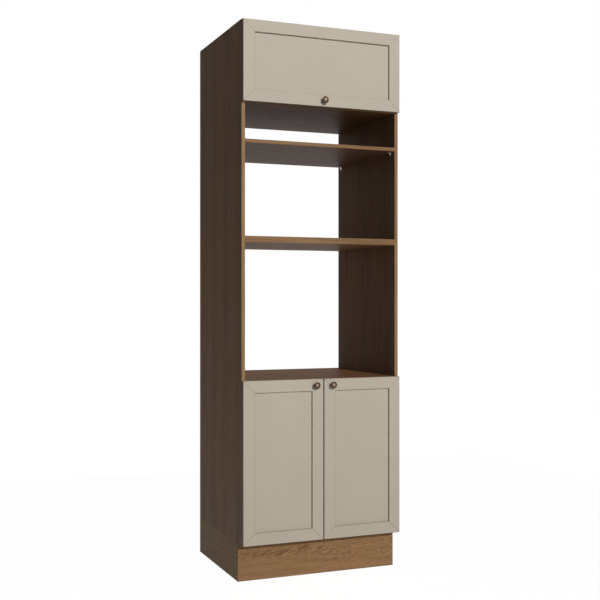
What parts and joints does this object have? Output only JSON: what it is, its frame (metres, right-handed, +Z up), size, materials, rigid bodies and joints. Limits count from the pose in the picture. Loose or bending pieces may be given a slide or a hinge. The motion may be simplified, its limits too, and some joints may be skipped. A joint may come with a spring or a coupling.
{
  "type": "tall oven cabinet",
  "caption": "Tall kitchen cabinet with an oven niche, a microwave niche, an open slot, a lift-up flap above and hinged doors below, on a recessed plinth.",
  "frame": {"origin": "middle of the footprint, knobs included, on the floor", "axes": "+X across the width to the right seen from the front, +Y from the doors to the back, +Z up"},
  "size_m": [0.7, 0.624, 2.26],
  "materials": {
    "walnut_board": "satin melamine with walnut grain",
    "walnut_back_board": "satin",
    "greige_lacquer": "satin lacquer",
    "antique_bronze": "satin, aged",
    "nickel_steel": "nickel plated",
    "zinc_steel": "zinc plated",
    "beech_dowel": "bare",
    "strut_grey": "satin",
    "strut_rod_steel": "polished",
    "clear_bumper": "clear"
  },
  "bodies": {
    "carcass": {"cabinet_floor": "walnut_board", "cam_bolts": "zinc_steel", "cam_locks": "zinc_steel", "door_bumpers": "clear_bumper", "flap_compartment_floor": "walnut_board", "hinge_arm_pins": "zinc_steel", "hinge_arm_screws": "zinc_steel", "hinge_arms": "nickel_steel", "hinge_plate_screws": "zinc_steel", "hinge_plates": "nickel_steel", "inner_shelf": "walnut_board", "inner_shelf_supports": "nickel_steel", "left_side_panel": "walnut_board", "lower_back_panel": "walnut_back_board", "microwave_shelf": "walnut_board", "niche_shelf": "walnut_board", "niche_shelf_supports": "nickel_steel", "oven_shelf": "walnut_board", "plinth_back": "walnut_board", "plinth_front": "walnut_board", "plinth_left": "walnut_board", "plinth_right": "walnut_board", "right_side_panel": "walnut_board", "strut_side_brackets": "zinc_steel", "top_panel": "walnut_board", "upper_back_panel": "walnut_back_board", "wall_bracket_screws": "zinc_steel", "wall_brackets": "zinc_steel", "wooden_dowels": "beech_dowel"},
    "left_door_links": {"left_door_hinge_links": "nickel_steel"},
    "left_door": {"left_door_bottom_rail": "greige_lacquer", "left_door_hinge_cups": "nickel_steel", "left_door_knob": "antique_bronze", "left_door_knob_screw": "zinc_steel", "left_door_left_stile": "greige_lacquer", "left_door_panel": "greige_lacquer", "left_door_right_stile": "greige_lacquer", "left_door_top_rail": "greige_lacquer"},
    "right_door_links": {"right_door_hinge_links": "nickel_steel"},
    "right_door": {"right_door_bottom_rail": "greige_lacquer", "right_door_hinge_cups": "nickel_steel", "right_door_knob": "antique_bronze", "right_door_knob_screw": "zinc_steel", "right_door_left_stile": "greige_lacquer", "right_door_panel": "greige_lacquer", "right_door_right_stile": "greige_lacquer", "right_door_top_rail": "greige_lacquer"},
    "flap_links": {"flap_hinge_links": "nickel_steel"},
    "flap": {"flap_bottom_rail": "greige_lacquer", "flap_hinge_cups": "nickel_steel", "flap_knob": "antique_bronze", "flap_knob_screw": "zinc_steel", "flap_left_stile": "greige_lacquer", "flap_panel": "greige_lacquer", "flap_right_stile": "greige_lacquer", "flap_top_rail": "greige_lacquer", "strut_flap_brackets": "zinc_steel"},
    "strut_cylinders": {"strut_cylinders": "strut_grey"},
    "strut_rods": {"strut_rods": "strut_rod_steel"}
  },
  "joints": [
    {"name": "left_door_link_pivot", "type": "hinge", "parent": "carcass", "child": "left_door_links", "pos_m": [-0.3183, -0.2655, 0.484], "axis": [0, 0, -1], "range_deg": [-30.01, 0]},
    {"name": "left_door_hinge", "type": "hinge", "parent": "left_door_links", "child": "left_door", "pos_m": [-0.3387, -0.2757, 0.484], "axis": [0, 0, -1], "range_deg": [0, 135]},
    {"name": "right_door_link_pivot", "type": "hinge", "parent": "carcass", "child": "right_door_links", "pos_m": [0.3183, -0.2655, 0.484], "axis": [0, 0, 1], "range_deg": [-30.01, 0]},
    {"name": "right_door_hinge", "type": "hinge", "parent": "right_door_links", "child": "right_door", "pos_m": [0.3387, -0.2757, 0.484], "axis": [0, 0, 1], "range_deg": [0, 135]},
    {"name": "flap_link_pivot", "type": "hinge", "parent": "carcass", "child": "flap_links", "pos_m": [0, -0.2655, 2.2283], "axis": [-1, 0, 0], "range_deg": [-25.72, 0]},
    {"name": "flap_hinge", "type": "hinge", "parent": "flap_links", "child": "flap", "pos_m": [0, -0.2757, 2.2487], "axis": [-1, 0, 0], "range_deg": [0, 115.71]},
    {"name": "strut_pivot", "type": "hinge", "parent": "carcass", "child": "strut_cylinders", "pos_m": [0, -0.078, 2.185], "axis": [-1, 0, 0], "range_deg": [0, 10.15]},
    {"name": "strut_slide", "type": "slide", "parent": "strut_cylinders", "child": "strut_rods", "axis": [0, -0.9984, -0.0574], "range_m": [0, 0.107]}
  ],
  "couplings": [
    {"joint": "left_door_link_pivot", "follows": "left_door_hinge", "ratio": -0.22222},
    {"joint": "right_door_link_pivot", "follows": "right_door_hinge", "ratio": -0.22222},
    {"joint": "flap_link_pivot", "follows": "flap_hinge", "ratio": -0.22222},
    {"joint": "strut_pivot", "follows": "flap_hinge", "ratio": 0.08764},
    {"joint": "strut_slide", "follows": "flap_hinge", "m_per_rad": 0.052963}
  ]
}
